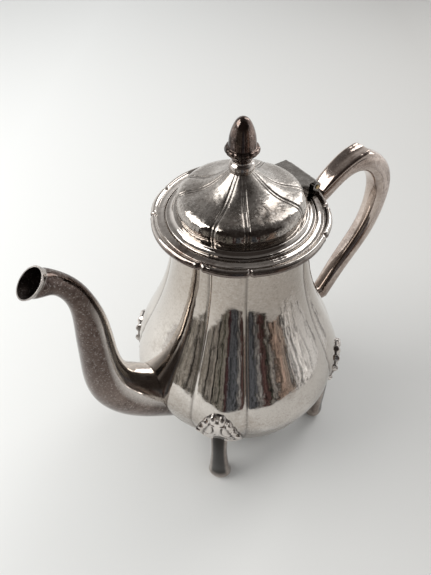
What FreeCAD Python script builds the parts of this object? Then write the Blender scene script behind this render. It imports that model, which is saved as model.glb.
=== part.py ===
import FreeCAD, Part
import Sketcher
import math
import os

# Silver-plated coffee pot: panelled pear-shaped body on four knee feet, swan-neck spout,
# loop handle with thumb leaf, and a hinged domed lid with an acorn finial.
# Millimetres, Z up, origin on the pot's axis at table level; spout along -X, handle along +X.

doc = FreeCAD.newDocument("CoffeePot")
sheet = doc.addObject("Spreadsheet::Sheet", "Sizes")

# Driving sizes in millimetres.
SIZES = {
    # Body: its foot, the widest ring of the belly and the top of the neck.
    "foot_z": 16.0,
    "foot_radius": 39.5,
    "belly_z": 73.0,
    "belly_radius": 65.3,
    "neck_z": 176.6,
    "neck_radius": 36.0,
    "body_wall": 1.2,
    "body_crease_depth": 1.1754,
    "base_lip": 0.4,
    "base_thickness": 1.4,
    "base_panel_radius": 30.0,
    "base_panel_rise": 2.0,
    "base_cone_width": 3.0,
    # Rim: moulded flange beyond the neck's edge, with a gallery for the lid.
    "rim_width": 8.0,
    "rim_height": 3.8,
    "rim_bead_height": 4.4,
    "rim_bead_lean": 0.6,
    "rim_groove_out": 5.4,
    "rim_groove_width": 0.8,
    "rim_groove_depth": 0.7,
    "gallery_width": 2.1,
    "gallery_height": 2.6,
    "notch_width": 1.7,
    "notch_length": 6.0,
    "notch_reach": 1.2,
    "notch_rise": 0.3,
    # Spout: wall, slanted mouth beyond the belly, and the strainer in the body wall.
    "spout_wall": 1.1,
    "mouth_out": 38.3,
    "mouth_cut_radius": 20.0,
    "mouth_cut_depth": 30.0,
    "spout_hole_radius": 12.5,
    "spout_hole_drop": 4.0,
    "strainer_hole_radius": 1.7,
    "strainer_margin": 1.6,
    # Handle: the mitre beyond the belly where the loop meets its stub.
    "mitre_out": 7.7,
    "mitre_cut_radius": 16.0,
    "mitre_cut_depth": 24.0,
    "stub_length": 20.0,
    # Knee shells: fan plates over the legs' tops, heights from the belly's widest ring.
    "shell_thickness": 1.5,
    "shell_half_width": 14.8,
    "shell_corner_drop": 22.5,
    "shell_top_rise": 13.5,
    "shell_edge_radius": 26.0,
    "shell_bottom_drop": 30.5,
    "shell_bottom_half_width": 5.6,
    "shell_bottom_radius": 14.0,
    "shell_cut_inset": 25.3,
    "shell_cut_depth": 40.0,
    "bead_radius": 2.2,
    # Lid: dome over a flange that rests in the gallery, and a bezel inside the neck.
    "dome_inset": 3.4,
    "dome_height": 21.4,
    "dome_wall": 1.1,
    "dome_crease_depth": 0.815,
    "seat_gap": 0.2,
    "flange_gap": 0.7,
    "flange_thickness": 1.5,
    "flange_cove_radius": 2.4,
    "flange_cove_rise": 1.7,
    "flange_cove_width": 2.4,
    "flange_land": 1.6,
    "bezel_gap": 1.6,
    "bezel_wall": 2.2,
    "bezel_drop": 6.9,
    # Hinge: pin behind the gallery, bracket on the rim, and the lid's leaf under a roof plate.
    "pin_out": 1.5,
    "pin_rise": 4.8,
    "pin_radius": 1.1,
    "pin_length": 24.0,
    "pin_play": 0.05,
    "knuckle_radius": 2.5,
    "knuckle_half_width": 4.3,
    "knuckle_gap": 0.3,
    "bracket_half_width": 11.5,
    "bracket_behind": 2.2,
    "bracket_ahead": 1.2,
    "bracket_thickness": 1.5,
    "web_half_thickness": 1.0,
    "roof_reach": 12.6,
    "roof_clear": 2.4,
    "roof_rise": 5.0,
    "roof_thickness": 1.5,
    "roof_half_width": 11.0,
    "block_inset": 0.4,
    "block_land": 1.8,
    "block_half_width": 10.0,
    "arm_drop": 1.6,
    # Finial: collar and acorn, heights from the dome's top and the collar's top.
    "stud_radius": 2.0,
    "stud_rise": 7.6,
    "stud_over": 1.0,
    "collar_foot_radius": 5.2,
    "collar_radius": 6.1,
    "collar_mid_rise": 2.6,
    "collar_height": 5.4,
    "collar_neck_radius": 4.7,
    "collar_lower_curve": 2.2,
    "collar_upper_curve": 3.0,
    "cup_radius": 8.1,
    "cup_edge_inset": 0.3,
    "cup_rise": 4.8,
    "cup_curve": 6.5,
    "cup_height": 6.6,
    "nut_foot_radius": 6.4,
    "acorn_mid_radius": 4.9,
    "acorn_mid_rise": 14.2,
    "acorn_lower_curve": 22.0,
    "acorn_tip_radius": 1.2,
    "acorn_tip_rise": 20.0,
    "acorn_upper_curve": 10.0,
    "acorn_height": 20.6,
    "washer_radius": 5.6,
    "washer_thickness": 1.0,
    "nut_radius": 4.2,
    "nut_height": 3.0,
}

# Angles in degrees, and the corner of each bowed section as a share of its half width.
SHAPES = {
    "mouth_lean": 36.2,
    "mouth_rise": 1.139,
    "mitre_turn": -150.5,
    "mitre_rise": 0.0454,
    "handle_corner": 0.80,
    "leg_corner": 0.72,
}

# Pear profile as drawn: height and swell over the foot, ending at the belly's widest ring; then
# height and draw-in over that ring, ending at the neck. Both are stretched to the sizes above.
LOWER = [(0.0, 0.0), (6.0, 5.3), (16.0, 11.3), (30.0, 18.0), (44.0, 22.8), (57.0, 25.8)]
UPPER = [(14.0, 3.1), (28.0, 9.3), (46.0, 17.7), (64.0, 24.1), (83.0, 28.1), (103.6, 29.3)]

# Spout, root to mouth: distance beyond the belly, share of the rise from belly to neck, radius and
# lean from the vertical.
SPOUT = [(-17.3, -0.1882, 15.6, 45.0), (-5.3, -0.0724, 15.9, 44.0), (5.7, 0.0386, 15.8, 42.0),
         (14.7, 0.1496, 14.8, 33.0), (20.3, 0.2606, 13.1, 19.0), (22.5, 0.3861, 11.2, 4.0),
         (22.5, 0.5212, 9.7, -2.0), (21.8, 0.666, 8.8, -2.5), (21.5, 0.7915, 7.6, 2.0),
         (22.7, 0.9122, 6.1, 10.0), (26.3, 1.0183, 5.3, 28.0), (31.7, 1.084, 5.5, 50.0),
         (36.9, 1.1139, 6.6, 66.0), (42.7, 1.1448, 7.2, 60.0)]

# Handle root at the neck: distance beyond the neck, share of the rise, direction above +X, half
# width and half depth. Then the loop, by its distance beyond the belly.
HANDLE_ROOT = [(-8.0, 0.8108, 14.0, 5.2, 5.0), (8.0, 0.861, 27.0, 5.2, 4.8)]
HANDLE = [(-7.9, 0.9324, 37.0, 5.2, 4.7), (2.1, 0.999, 27.0, 5.4, 4.8), (11.3, 1.029, 7.0, 5.7, 5.2),
          (20.3, 1.0212, -20.0, 6.1, 5.8), (29.3, 0.971, -43.0, 6.4, 6.2), (36.3, 0.89, -58.0, 6.5, 6.4),
          (40.3, 0.7896, -79.0, 6.5, 6.4), (41.1, 0.6853, -91.0, 6.3, 6.2), (39.5, 0.5695, -106.0, 6.1, 6.0),
          (34.9, 0.4537, -118.0, 6.0, 5.9), (26.7, 0.334, -126.0, 5.9, 5.7), (17.7, 0.2085, -123.0, 5.7, 5.5),
          (10.9, 0.0965, -121.0, 5.5, 5.4), (1.7, -0.0512, -121.0, 5.5, 5.4)]

# Thumb leaf on the upper branch of the handle, in the same terms as the loop.
LEAF = [(-13.5, 0.9421, 36.0, 4.6, 1.1), (-6.3, 0.9981, 37.0, 5.3, 1.4), (1.1, 1.0454, 28.0, 5.8, 1.6),
        (10.9, 1.083, 11.0, 6.3, 1.8), (19.5, 1.0898, -4.0, 6.2, 1.9)]

# Legs, knee to foot: distance inside the belly, share of the belly's height, half width and half depth.
LEG = [(6.7, 0.8219, 5.4, 3.6), (5.1, 0.6575, 5.0, 3.5), (4.3, 0.4658, 4.7, 3.3), (4.5, 0.274, 5.4, 3.6),
       (5.3, 0.1233, 7.0, 5.0), (6.1, 0.0342, 7.0, 5.4), (6.3, 0.0, 5.2, 3.8)]

# Beads round the fan's upper edge: side, height over the belly's widest ring, distance inside the belly.
BEADS = [(0.0, 10.4, 1.9), (5.2, 6.4, 1.0), (9.2, 0.2, 0.9), (11.7, -7.1, 2.1), (12.7, -14.9, 4.5)]

# Dome: share of its height, share of its radius, and lean of the surface's normal above the level.
DOME = [(0.0, 0.9877, 0.0), (0.1495, 1.0, 0.0), (0.3178, 0.9724, 30.0), (0.4299, 0.9018, 60.0),
        (0.4953, 0.7669, 78.0), (0.5467, 0.6135, 72.0), (0.6542, 0.4601, 60.0), (0.8224, 0.3067, 47.0),
        (1.0, 0.1718, 49.0)]


def name_cells(values):
    for name, value in values.items():
        row = len(sheet.getUsedCells()) // 2 + 1
        sheet.set("A%d" % row, name)
        sheet.set("B%d" % row, str(value))
        sheet.setAlias("B%d" % row, name)


def station_cells(prefix, fields, stations):
    for index, station in enumerate(stations):
        name_cells({"%s_%s_%d" % (prefix, field, index): value for field, value in zip(fields, station)})


def shares(stations):
    """Each column of a drawn profile over its last entry."""
    return [tuple(value / whole for value, whole in zip(station, stations[-1])) for station in stations]


name_cells(SIZES)
name_cells(SHAPES)
station_cells("lower", ("rise", "swell"), shares(LOWER))
station_cells("upper", ("rise", "draw"), shares(UPPER))
station_cells("spout", ("out", "rise", "radius", "lean"), SPOUT)
BAR = ("out", "rise", "turn", "half_width", "half_depth")
station_cells("root", BAR, HANDLE_ROOT)
station_cells("handle", BAR, HANDLE)
station_cells("leaf", BAR, LEAF)
station_cells("leg", ("inset", "rise", "half_width", "half_depth"), LEG)
station_cells("bead", ("side", "rise", "inset"), BEADS)
station_cells("dome", ("rise", "share", "lean"), DOME)
doc.recompute()

CREASES = [30, 60, 120, 150, 210, 240, 300, 330]
WIDE = "30 deg"
NARROW = "15 deg"


def number(expression):
    value = sheet.evalExpression(expression)
    return float(getattr(value, "Value", value))


def s(name):
    return "Sizes." + name


def total(*terms):
    """Sum of sizes; a name with a minus sign is taken away."""
    parts = ["- " + s(term[1:]) if term.startswith("-") else "+ " + s(term) for term in terms]
    return "(0 %s)" % " ".join(parts)


def rise(share):
    """Height at a share of the way from the belly's widest ring to the neck."""
    return "(%s + %s * %s)" % (s("belly_z"), s(share), total("neck_z", "-belly_z"))


def bind(thing, **sizes):
    for path, expression in sizes.items():
        thing.setExpression(path.replace("__", "."), expression)


def place_constraint(sketch, kind, geo, end, expression):
    """Hold one coordinate of a vertex at an expression."""
    axis = -2 if kind == "DistanceX" else -1
    value = number(expression)
    if abs(value) < 1e-9:
        sketch.addConstraint(Sketcher.Constraint("PointOnObject", geo, end, axis))
        return
    if value > 0:
        index = sketch.addConstraint(Sketcher.Constraint(kind, -1, 1, geo, end, value))
        sketch.setExpression("Constraints[%d]" % index, expression)
    else:
        index = sketch.addConstraint(Sketcher.Constraint(kind, geo, end, -1, 1, -value))
        sketch.setExpression("Constraints[%d]" % index, "-(%s)" % expression)


def outline(sketch, vertices, curves=None):
    """Closed anticlockwise outline; curves maps an edge to (radius expression, bulges outward)."""
    curves = curves or {}
    count = len(vertices)
    spots = [FreeCAD.Vector(number(x), number(y), 0) for x, y in vertices]
    ends = []
    for index in range(count):
        first = spots[index]
        last = spots[(index + 1) % count]
        if index not in curves:
            geo = sketch.addGeometry(Part.LineSegment(first, last), False)
            ends.append((geo, 1, 2))
            continue
        expression, outward = curves[index]
        radius = number(expression)
        chord = last - first
        half = chord.Length / 2
        left = FreeCAD.Vector(-chord.y, chord.x, 0).normalize()
        away = math.sqrt(max(radius * radius - half * half, 0))
        centre = (first + last) * 0.5 + left * (away if outward else -away)
        start, stop = (first, last) if outward else (last, first)
        begin = math.atan2(start.y - centre.y, start.x - centre.x)
        finish = math.atan2(stop.y - centre.y, stop.x - centre.x)
        circle = Part.Circle(centre, FreeCAD.Vector(0, 0, 1), radius)
        geo = sketch.addGeometry(Part.ArcOfCircle(circle, begin, finish), False)
        ends.append((geo, 1, 2) if outward else (geo, 2, 1))
    for index in range(count):
        geo, start, stop = ends[index]
        after, after_start, after_stop = ends[(index + 1) % count]
        sketch.addConstraint(Sketcher.Constraint("Coincident", geo, stop, after, after_start))
    for index in range(count):
        geo, start, stop = ends[index]
        place_constraint(sketch, "DistanceX", geo, start, vertices[index][0])
        place_constraint(sketch, "DistanceY", geo, start, vertices[index][1])
    for index, (expression, outward) in sorted(curves.items()):
        geo = ends[index][0]
        held = sketch.addConstraint(Sketcher.Constraint("Radius", geo, number(expression)))
        sketch.setExpression("Constraints[%d]" % held, expression)


def sketch_at(name, axis=(0, 0, 1), angle="0", x="0", y="0", z="0"):
    """A free sketch turned about an axis by an angle and set at a point."""
    sketch = doc.addObject("Sketcher::SketchObject", name)
    turn = FreeCAD.Rotation(FreeCAD.Vector(*axis), number(angle))
    sketch.Placement = FreeCAD.Placement(FreeCAD.Vector(number(x), number(y), number(z)), turn)
    for path, expression in (("x", x), ("y", y), ("z", z)):
        if expression != "0":
            sketch.setExpression("Placement.Base." + path, expression)
    if angle != "0":
        sketch.setExpression("Placement.Rotation.Angle", angle)
    return sketch


def panel_section(name, z, radius, crease):
    """Eight convex panels, four wide and four narrow, meeting at inward creases."""
    sketch = sketch_at(name, z=z)
    vertices = []
    curves = {}
    for index, angle in enumerate(CREASES):
        vertices.append(("(%s) * %s * cos(%d deg)" % (radius, crease, angle),
                         "(%s) * %s * sin(%d deg)" % (radius, crease, angle)))
        half = NARROW if index % 2 == 0 else WIDE
        shift = "(1 - %s ^ 2) / (2 * (1 - %s * cos(%s)))" % (crease, crease, half)
        curves[index] = ("(%s) * (1 - %s)" % (radius, shift), True)
    outline(sketch, vertices, curves)
    return sketch


def cushion_section(name, axis, angle, x, z, half_width, half_depth, corner):
    """Four-sided section with bowed sides; width across the object, depth in its plane."""
    sketch = sketch_at(name, axis=axis, angle=angle, x=x, z=z)
    across = "%s * %s" % (half_width, corner)
    deep = "%s * %s" % (half_depth, corner)
    side = "((%s) ^ 2 + (%s * (1 - %s)) ^ 2) / (2 * %s * (1 - %s))"
    vertices = [(deep, "-(%s)" % across), (deep, across), ("-(%s)" % deep, across),
                ("-(%s)" % deep, "-(%s)" % across)]
    flank = side % (across, half_depth, corner, half_depth, corner)
    cheek = side % (deep, half_width, corner, half_width, corner)
    outline(sketch, vertices, {0: (flank, True), 1: (cheek, True), 2: (flank, True), 3: (cheek, True)})
    return sketch


def circle_section(name, axis, angle, x, z, radius):
    sketch = sketch_at(name, axis=axis, angle=angle, x=x, z=z)
    sketch.addGeometry(Part.Circle(FreeCAD.Vector(0, 0, 0), FreeCAD.Vector(0, 0, 1), number(radius)), False)
    sketch.addConstraint(Sketcher.Constraint("Coincident", 0, 3, -1, 1))
    held = sketch.addConstraint(Sketcher.Constraint("Radius", 0, number(radius)))
    sketch.setExpression("Constraints[%d]" % held, radius)
    return sketch


def loft(name, sections):
    made = doc.addObject("Part::Loft", name)
    made.Sections = sections
    made.Solid = True
    made.Ruled = False
    return made


def cut(name, base, tool):
    made = doc.addObject("Part::Cut", name)
    made.Base = base
    made.Tool = tool
    return made


def common(name, base, tool):
    made = doc.addObject("Part::Common", name)
    made.Base = base
    made.Tool = tool
    return made


def fuse(name, shapes):
    made = doc.addObject("Part::MultiFuse", name)
    made.Shapes = shapes
    made.Refine = True
    return made


def revolved(name, vertices, curves=None):
    """A turned piece in a body of its own, its profile on the XZ plane."""
    body = doc.addObject("PartDesign::Body", name)
    sketch = body.newObject("Sketcher::SketchObject", name + "_profile")
    plane = [item for item in body.Origin.OriginFeatures if item.Role == "XZ_Plane"][0]
    sketch.AttachmentSupport = [(plane, "")]
    sketch.MapMode = "FlatFace"
    outline(sketch, vertices, curves)
    turn = body.newObject("PartDesign::Revolution", name + "_turn")
    turn.Profile = sketch
    turn.ReferenceAxis = (sketch, ["V_Axis"])
    turn.Angle = 360.0
    return body


def block(name, x_from, x_to, half_width, z_from, z_to):
    """Box between two X values and two heights, centred across the pot."""
    made = doc.addObject("Part::Box", name)
    bind(made, Length="%s - (%s)" % (x_to, x_from), Width="2 * (%s)" % half_width,
         Height="%s - (%s)" % (z_to, z_from))
    bind(made, Placement__Base__x=x_from, Placement__Base__y="-(%s)" % half_width, Placement__Base__z=z_from)
    return made


def rod(name, radius, height, axis=(0, 0, 1), angle="0", x="0", y="0", z="0"):
    made = doc.addObject("Part::Cylinder", name)
    bind(made, Radius=radius, Height=height)
    made.Placement = FreeCAD.Placement(FreeCAD.Vector(number(x), number(y), number(z)),
                                       FreeCAD.Rotation(FreeCAD.Vector(*axis), number(angle)))
    for path, expression in (("x", x), ("y", y), ("z", z)):
        if expression != "0":
            made.setExpression("Placement.Base." + path, expression)
    if angle != "0":
        made.setExpression("Placement.Rotation.Angle", angle)
    return made


def panel_loft(name, stations, crease):
    return loft(name, [panel_section("%s_section_%d" % (name, index), height, radius, crease)
                       for index, (height, radius) in enumerate(stations)])


def panel_wedge(name, start, stop, reach, height):
    """Upright wedge from the pot's axis between two angles."""
    sketch = sketch_at(name + "_sketch")
    vertices = [("0", "0")]
    for angle in (start, stop):
        vertices.append(("(%s) * cos(%d deg)" % (reach, angle), "(%s) * sin(%d deg)" % (reach, angle)))
    outline(sketch, vertices)
    wedge = doc.addObject("Part::Extrusion", name)
    wedge.Base = sketch
    wedge.DirMode = "Normal"
    wedge.Solid = True
    bind(wedge, LengthFwd=height)
    return wedge


# Body wall, parted at its creases into four narrow and four wide panels; the pierced plate
# of the wall behind the spout is a piece of its own.
pear = []
for index in range(len(LOWER)):
    swell = "%s * %s" % (s("lower_swell_%d" % index), total("belly_radius", "-foot_radius"))
    climb = "%s * %s" % (s("lower_rise_%d" % index), total("belly_z", "-foot_z"))
    pear.append(("%s + %s" % (s("foot_z"), climb), "%s + %s" % (s("foot_radius"), swell)))
for index in range(len(UPPER)):
    draw = "%s * %s" % (s("upper_draw_%d" % index), total("belly_radius", "-neck_radius"))
    pear.append((rise("upper_rise_%d" % index), "%s - %s" % (s("belly_radius"), draw)))
body_crease = "(1 - %s / %s)" % (s("body_crease_depth"), s("belly_radius"))
body_outer = panel_loft("body_outer", pear, body_crease)
inside = [(z, "%s - %s" % (radius, s("body_wall"))) for z, radius in pear]
body_inner = panel_loft("body_inner", inside, body_crease)
body_wall = cut("body_wall_shape", body_outer, body_inner)
hole_depth = total("belly_radius", "spout_hole_radius")
hole_z = total("belly_z", "-spout_hole_drop")
spout_hole = rod("spout_hole", s("spout_hole_radius"), hole_depth, (0, 1, 0), "-90", z=hole_z)
body_pierced = cut("body_pierced", body_wall, spout_hole)
strainer_plate = common("strainer_plate", body_wall, spout_hole)
for index, start in enumerate(CREASES):
    stop = start + (30 if index % 2 == 0 else 60)
    wedge = panel_wedge("panel_wedge_%d" % (index + 1), start, stop, "2 * " + s("belly_radius"), s("neck_z"))
    common("body_panel_%d" % (index + 1), body_pierced, wedge)
outer_ring = total("spout_hole_radius", "-strainer_margin", "-strainer_hole_radius")
pierce = []
for index in range(19):
    ring = "0"
    turn = 0
    if 0 < index <= 6:
        ring = outer_ring + " / 2"
        turn = 60 * index
    if index > 6:
        ring = outer_ring
        turn = 30 * index
    side = "(%s) * cos(%d deg)" % (ring, turn)
    height = "%s + (%s) * sin(%d deg)" % (hole_z, ring, turn)
    if abs(number(side)) < 1e-9:
        side = "0"
    pierce.append(rod("pierce_%d" % index, s("strainer_hole_radius"), hole_depth, (0, 1, 0), "-90",
                      y=side, z=height))
spout_strainer = cut("spout_strainer", strainer_plate, fuse("pierce_all", pierce))

# Base plate under the shell, its middle panel raised.
base_z = s("foot_z")
base_out = total("foot_radius", "base_lip")
base_low = total("foot_z", "-base_thickness")
cone = total("base_panel_radius", "base_cone_width")
base_plate = revolved("base_plate", [
    ("0", "%s + %s" % (base_low, s("base_panel_rise"))),
    (s("base_panel_radius"), "%s + %s" % (base_low, s("base_panel_rise"))),
    (cone, base_low),
    (base_out, base_low),
    (base_out, base_z),
    (cone, base_z),
    (s("base_panel_radius"), "%s + %s" % (base_z, s("base_panel_rise"))),
    ("0", "%s + %s" % (base_z, s("base_panel_rise"))),
])

# Rim collar with its bead, groove and the notches where the panels meet.
neck_top = s("neck_z")
neck_in = total("neck_radius", "-body_wall")
bead_foot = total("neck_radius", "rim_width")
bead_inner = total("neck_radius", "rim_width", "-rim_bead_lean")
bead_top = total("neck_z", "rim_bead_height")
bead_curve = "0.523 * " + s("rim_bead_height")
rim_top = total("neck_z", "rim_height")
groove_out = total("neck_radius", "rim_groove_out")
groove_in = total("neck_radius", "rim_groove_out", "-rim_groove_width")
groove_z = total("neck_z", "rim_height", "-rim_groove_depth")
gallery_out = total("neck_radius", "gallery_width")
gallery_floor = total("neck_z", "gallery_height")
rim_turned = revolved("rim_turned", [
    (neck_in, neck_top),
    (bead_foot, neck_top),
    (bead_inner, bead_top),
    (bead_inner, rim_top),
    (groove_out, rim_top),
    (groove_in, groove_z),
    (groove_in, rim_top),
    (gallery_out, rim_top),
    (gallery_out, gallery_floor),
    (neck_in, gallery_floor),
], {1: (bead_curve, True)})
notch_in = total("neck_radius", "rim_width", "-notch_reach")
notches = []
for index, angle in enumerate(CREASES):
    bar = doc.addObject("Part::Prism", "notch_%d" % index)
    bar.Polygon = 4
    bind(bar, Circumradius=s("notch_width"), Height=s("notch_length"))
    tilt = FreeCAD.Rotation(FreeCAD.Vector(0, 1, 0), 90)
    heading = FreeCAD.Rotation(FreeCAD.Vector(0, 0, 1), angle)
    bar.Placement = FreeCAD.Placement(FreeCAD.Vector(0, 0, 0), heading.multiply(tilt))
    bind(bar, Placement__Base__x="%s * cos(%d deg)" % (notch_in, angle),
         Placement__Base__y="%s * sin(%d deg)" % (notch_in, angle),
         Placement__Base__z=total("neck_z", "rim_bead_height", "notch_rise"))
    notches.append(bar)
rim_collar = cut("rim_collar", rim_turned, fuse("notch_all", notches))

# Spout: tapering swan neck, bored through, cut at the mouth and fitted to the body.
outer_sections = []
bore_sections = []
for index in range(len(SPOUT)):
    x = "-" + total("belly_radius", "spout_out_%d" % index)
    z = rise("spout_rise_%d" % index)
    radius = s("spout_radius_%d" % index)
    lean = "-(%s)" % s("spout_lean_%d" % index)
    outer_sections.append(circle_section("spout_section_%d" % index, (0, 1, 0), lean, x, z, radius))
    bore = "%s - %s" % (radius, s("spout_wall"))
    bore_sections.append(circle_section("spout_bore_%d" % index, (0, 1, 0), lean, x, z, bore))
spout_tube = cut("spout_tube", loft("spout_outer", outer_sections), loft("spout_bore", bore_sections))
mouth_cut = rod("mouth_cut", s("mouth_cut_radius"), s("mouth_cut_depth"), (0, 1, 0),
                "-(%s)" % s("mouth_lean"), x="-" + total("belly_radius", "mouth_out"), z=rise("mouth_rise"))
spout_open = cut("spout_open", spout_tube, mouth_cut)
spout = cut("spout", spout_open, body_outer)

# Handle: bowed-square loop from the neck, mitred above the belly onto a short stub.
def bar_sections(prefix, count, from_size):
    """Bowed-square sections of a bent bar, by their distance beyond a radius of the body."""
    made = []
    for index in range(count):
        x = total(from_size, "%s_out_%d" % (prefix, index))
        turn, width, depth = [s("%s_%s_%d" % (prefix, field, index)) for field in BAR[2:]]
        made.append(cushion_section("%s_section_%d" % (prefix, index), (0, 1, 0), "90 - (%s)" % turn, x,
                                    rise("%s_rise_%d" % (prefix, index)), width, depth, s("handle_corner")))
    return made


handle_loop = loft("handle_loop", bar_sections("root", len(HANDLE_ROOT), "neck_radius")
                   + bar_sections("handle", len(HANDLE), "belly_radius"))
mitre_x = total("belly_radius", "mitre_out")
mitre_z = rise("mitre_rise")
mitre_below = rod("mitre_below", s("mitre_cut_radius"), s("mitre_cut_depth"), (0, 1, 0),
                  "90 - (%s)" % s("mitre_turn"), x=mitre_x, z=mitre_z)
mitre_above = rod("mitre_above", s("mitre_cut_radius"), s("mitre_cut_depth"), (0, 1, 0),
                  "270 - (%s)" % s("mitre_turn"), x=mitre_x, z=mitre_z)
handle = cut("handle", cut("handle_mitred", handle_loop, mitre_below), body_outer)
last = len(HANDLE) - 1
stub_sections = []
for index, sign in enumerate("+-"):
    x = "%s %s %s" % (mitre_x, sign, s("stub_length"))
    stub_sections.append(cushion_section("stub_section_%d" % index, (0, 1, 0), "-90", x, mitre_z,
                                         s("handle_half_width_%d" % last), s("handle_half_depth_%d" % last),
                                         s("handle_corner")))
handle_stub = cut("handle_stub", cut("stub_mitred", loft("stub_bar", stub_sections), mitre_above), body_outer)
leaf_blank = loft("leaf_blank", bar_sections("leaf", len(LEAF), "belly_radius"))
thumb_leaf = cut("thumb_leaf", leaf_blank, handle_loop)

# Knee shell and leg at the first corner, then mirrored to the other three.
corner_turn = FreeCAD.Rotation(FreeCAD.Vector(0, 0, 1), 45)
over_belly = [(z, "%s + %s" % (radius, s("shell_thickness"))) for z, radius in pear[2:9]]
shell_layer = panel_loft("shell_layer", over_belly, body_crease)
shell_corner = total("belly_z", "-shell_corner_drop")
shell_bottom = total("belly_z", "-shell_bottom_drop")
fan = doc.addObject("Sketcher::SketchObject", "fan_outline")
outline(fan, [
    (s("shell_bottom_half_width"), shell_bottom),
    (s("shell_half_width"), shell_corner),
    ("0", total("belly_z", "shell_top_rise")),
    ("-" + s("shell_half_width"), shell_corner),
    ("-" + s("shell_bottom_half_width"), shell_bottom),
], {0: (s("shell_bottom_radius"), False), 1: (s("shell_edge_radius"), True),
    2: (s("shell_edge_radius"), True), 3: (s("shell_bottom_radius"), False)})
upright = FreeCAD.Rotation(FreeCAD.Vector(0, 1, 0), FreeCAD.Vector(0, 0, 1), FreeCAD.Vector(1, 0, 0), "ZXY")
fan.Placement = FreeCAD.Placement(FreeCAD.Vector(0, 0, 0), corner_turn.multiply(upright))
fan_from = total("belly_radius", "-shell_cut_inset")
bind(fan, Placement__Base__x=fan_from + " * cos(45 deg)", Placement__Base__y=fan_from + " * sin(45 deg)")
fan_prism = doc.addObject("Part::Extrusion", "fan_prism")
fan_prism.Base = fan
fan_prism.DirMode = "Normal"
fan_prism.Solid = True
bind(fan_prism, LengthFwd=s("shell_cut_depth"))
fan_parts = [common("fan_plate", shell_layer, fan_prism)]
for index in range(len(BEADS)):
    for hand in ((1, -1) if index else (1,)):
        bead = doc.addObject("Part::Sphere", "bead_%d_%s" % (index, "left" if hand > 0 else "right"))
        bind(bead, Radius=s("bead_radius"))
        out = total("belly_radius", "-bead_inset_%d" % index)
        side = "%d * %s" % (hand, s("bead_side_%d" % index))
        bind(bead, Placement__Base__x="(%s - %s) * cos(45 deg)" % (out, side),
             Placement__Base__y="(%s + %s) * sin(45 deg)" % (out, side),
             Placement__Base__z=total("belly_z", "bead_rise_%d" % index))
        fan_parts.append(bead)
knee_shell = cut("knee_shell_1", fuse("fan_beaded", fan_parts), body_outer)

leg_sections = []
for index in range(len(LEG)):
    out = total("belly_radius", "-leg_inset_%d" % index)
    section = cushion_section("leg_section_%d" % index, (0, 0, 1), "45", out + " * cos(45 deg)",
                              "%s * %s" % (s("leg_rise_%d" % index), s("belly_z")),
                              s("leg_half_width_%d" % index), s("leg_half_depth_%d" % index), s("leg_corner"))
    bind(section, Placement__Base__y=out + " * sin(45 deg)")
    leg_sections.append(section)
leg = cut("leg_1", cut("leg_fitted", loft("leg_blank", leg_sections), body_outer), knee_shell)


def mirrored(name, source, normal):
    made = doc.addObject("Part::Mirroring", name)
    made.Source = source
    made.Base = FreeCAD.Vector(0, 0, 0)
    made.Normal = FreeCAD.Vector(*normal)
    return made


legs = [leg, mirrored("leg_2", leg, (1, 0, 0))]
legs.append(mirrored("leg_3", legs[1], (0, 1, 0)))
legs.append(mirrored("leg_4", leg, (0, 1, 0)))
shells = [knee_shell, mirrored("knee_shell_2", knee_shell, (1, 0, 0))]
shells.append(mirrored("knee_shell_3", shells[1], (0, 1, 0)))
shells.append(mirrored("knee_shell_4", knee_shell, (0, 1, 0)))

# Lid: panelled dome on a turned flange with a bezel that drops inside the neck.
flange_low = total("neck_z", "gallery_height", "seat_gap")
flange_edge = "(%s + %s)" % (flange_low, s("flange_thickness"))
flange_out = "(%s - %s)" % (gallery_out, s("flange_gap"))
cove_end = "%s - %s" % (flange_out, s("flange_land"))
cove_start = "%s - %s" % (cove_end, s("flange_cove_width"))
bezel_out = "(%s - %s)" % (neck_in, s("bezel_gap"))
bezel_in = "(%s - %s)" % (bezel_out, s("bezel_wall"))
dome_seat = "(%s + %s)" % (flange_edge, s("flange_cove_rise"))
dome_radius = total("neck_radius", "-dome_inset")
dome_crease = "(1 - %s / %s)" % (s("dome_crease_depth"), dome_radius)
dome_stations = []
hollow_stations = []
for index in range(len(DOME)):
    height = "%s + %s * %s" % (dome_seat, s("dome_rise_%d" % index), s("dome_height"))
    radius = "%s * %s" % (s("dome_share_%d" % index), dome_radius)
    lean = s("dome_lean_%d" % index)
    dome_stations.append((height, radius))
    hollow_stations.append(("%s - %s * sin(%s * 1 deg)" % (height, s("dome_wall"), lean),
                            "%s - %s * cos(%s * 1 deg)" % (radius, s("dome_wall"), lean)))
dome_outer = panel_loft("dome_outer", dome_stations, dome_crease)
dome_inner = panel_loft("dome_inner", hollow_stations[:-1], dome_crease)
dome_top = dome_stations[-1][0]
boss_under = hollow_stations[-2][0]
stud_hole = rod("stud_hole", s("stud_radius"), s("dome_height"), z=dome_seat)
lid_dome = cut("lid_dome", cut("dome_shell", dome_outer, dome_inner), stud_hole)
bezel_low = "%s - %s" % (flange_low, s("bezel_drop"))
lid_bezel = revolved("lid_bezel", [
    (bezel_in, bezel_low),
    (bezel_out, bezel_low),
    (bezel_out, flange_low),
    (flange_out, flange_low),
    (flange_out, flange_edge),
    (cove_end, flange_edge),
    (cove_start, dome_seat),
    (bezel_in, dome_seat),
], {5: (s("flange_cove_radius"), False)})

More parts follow.
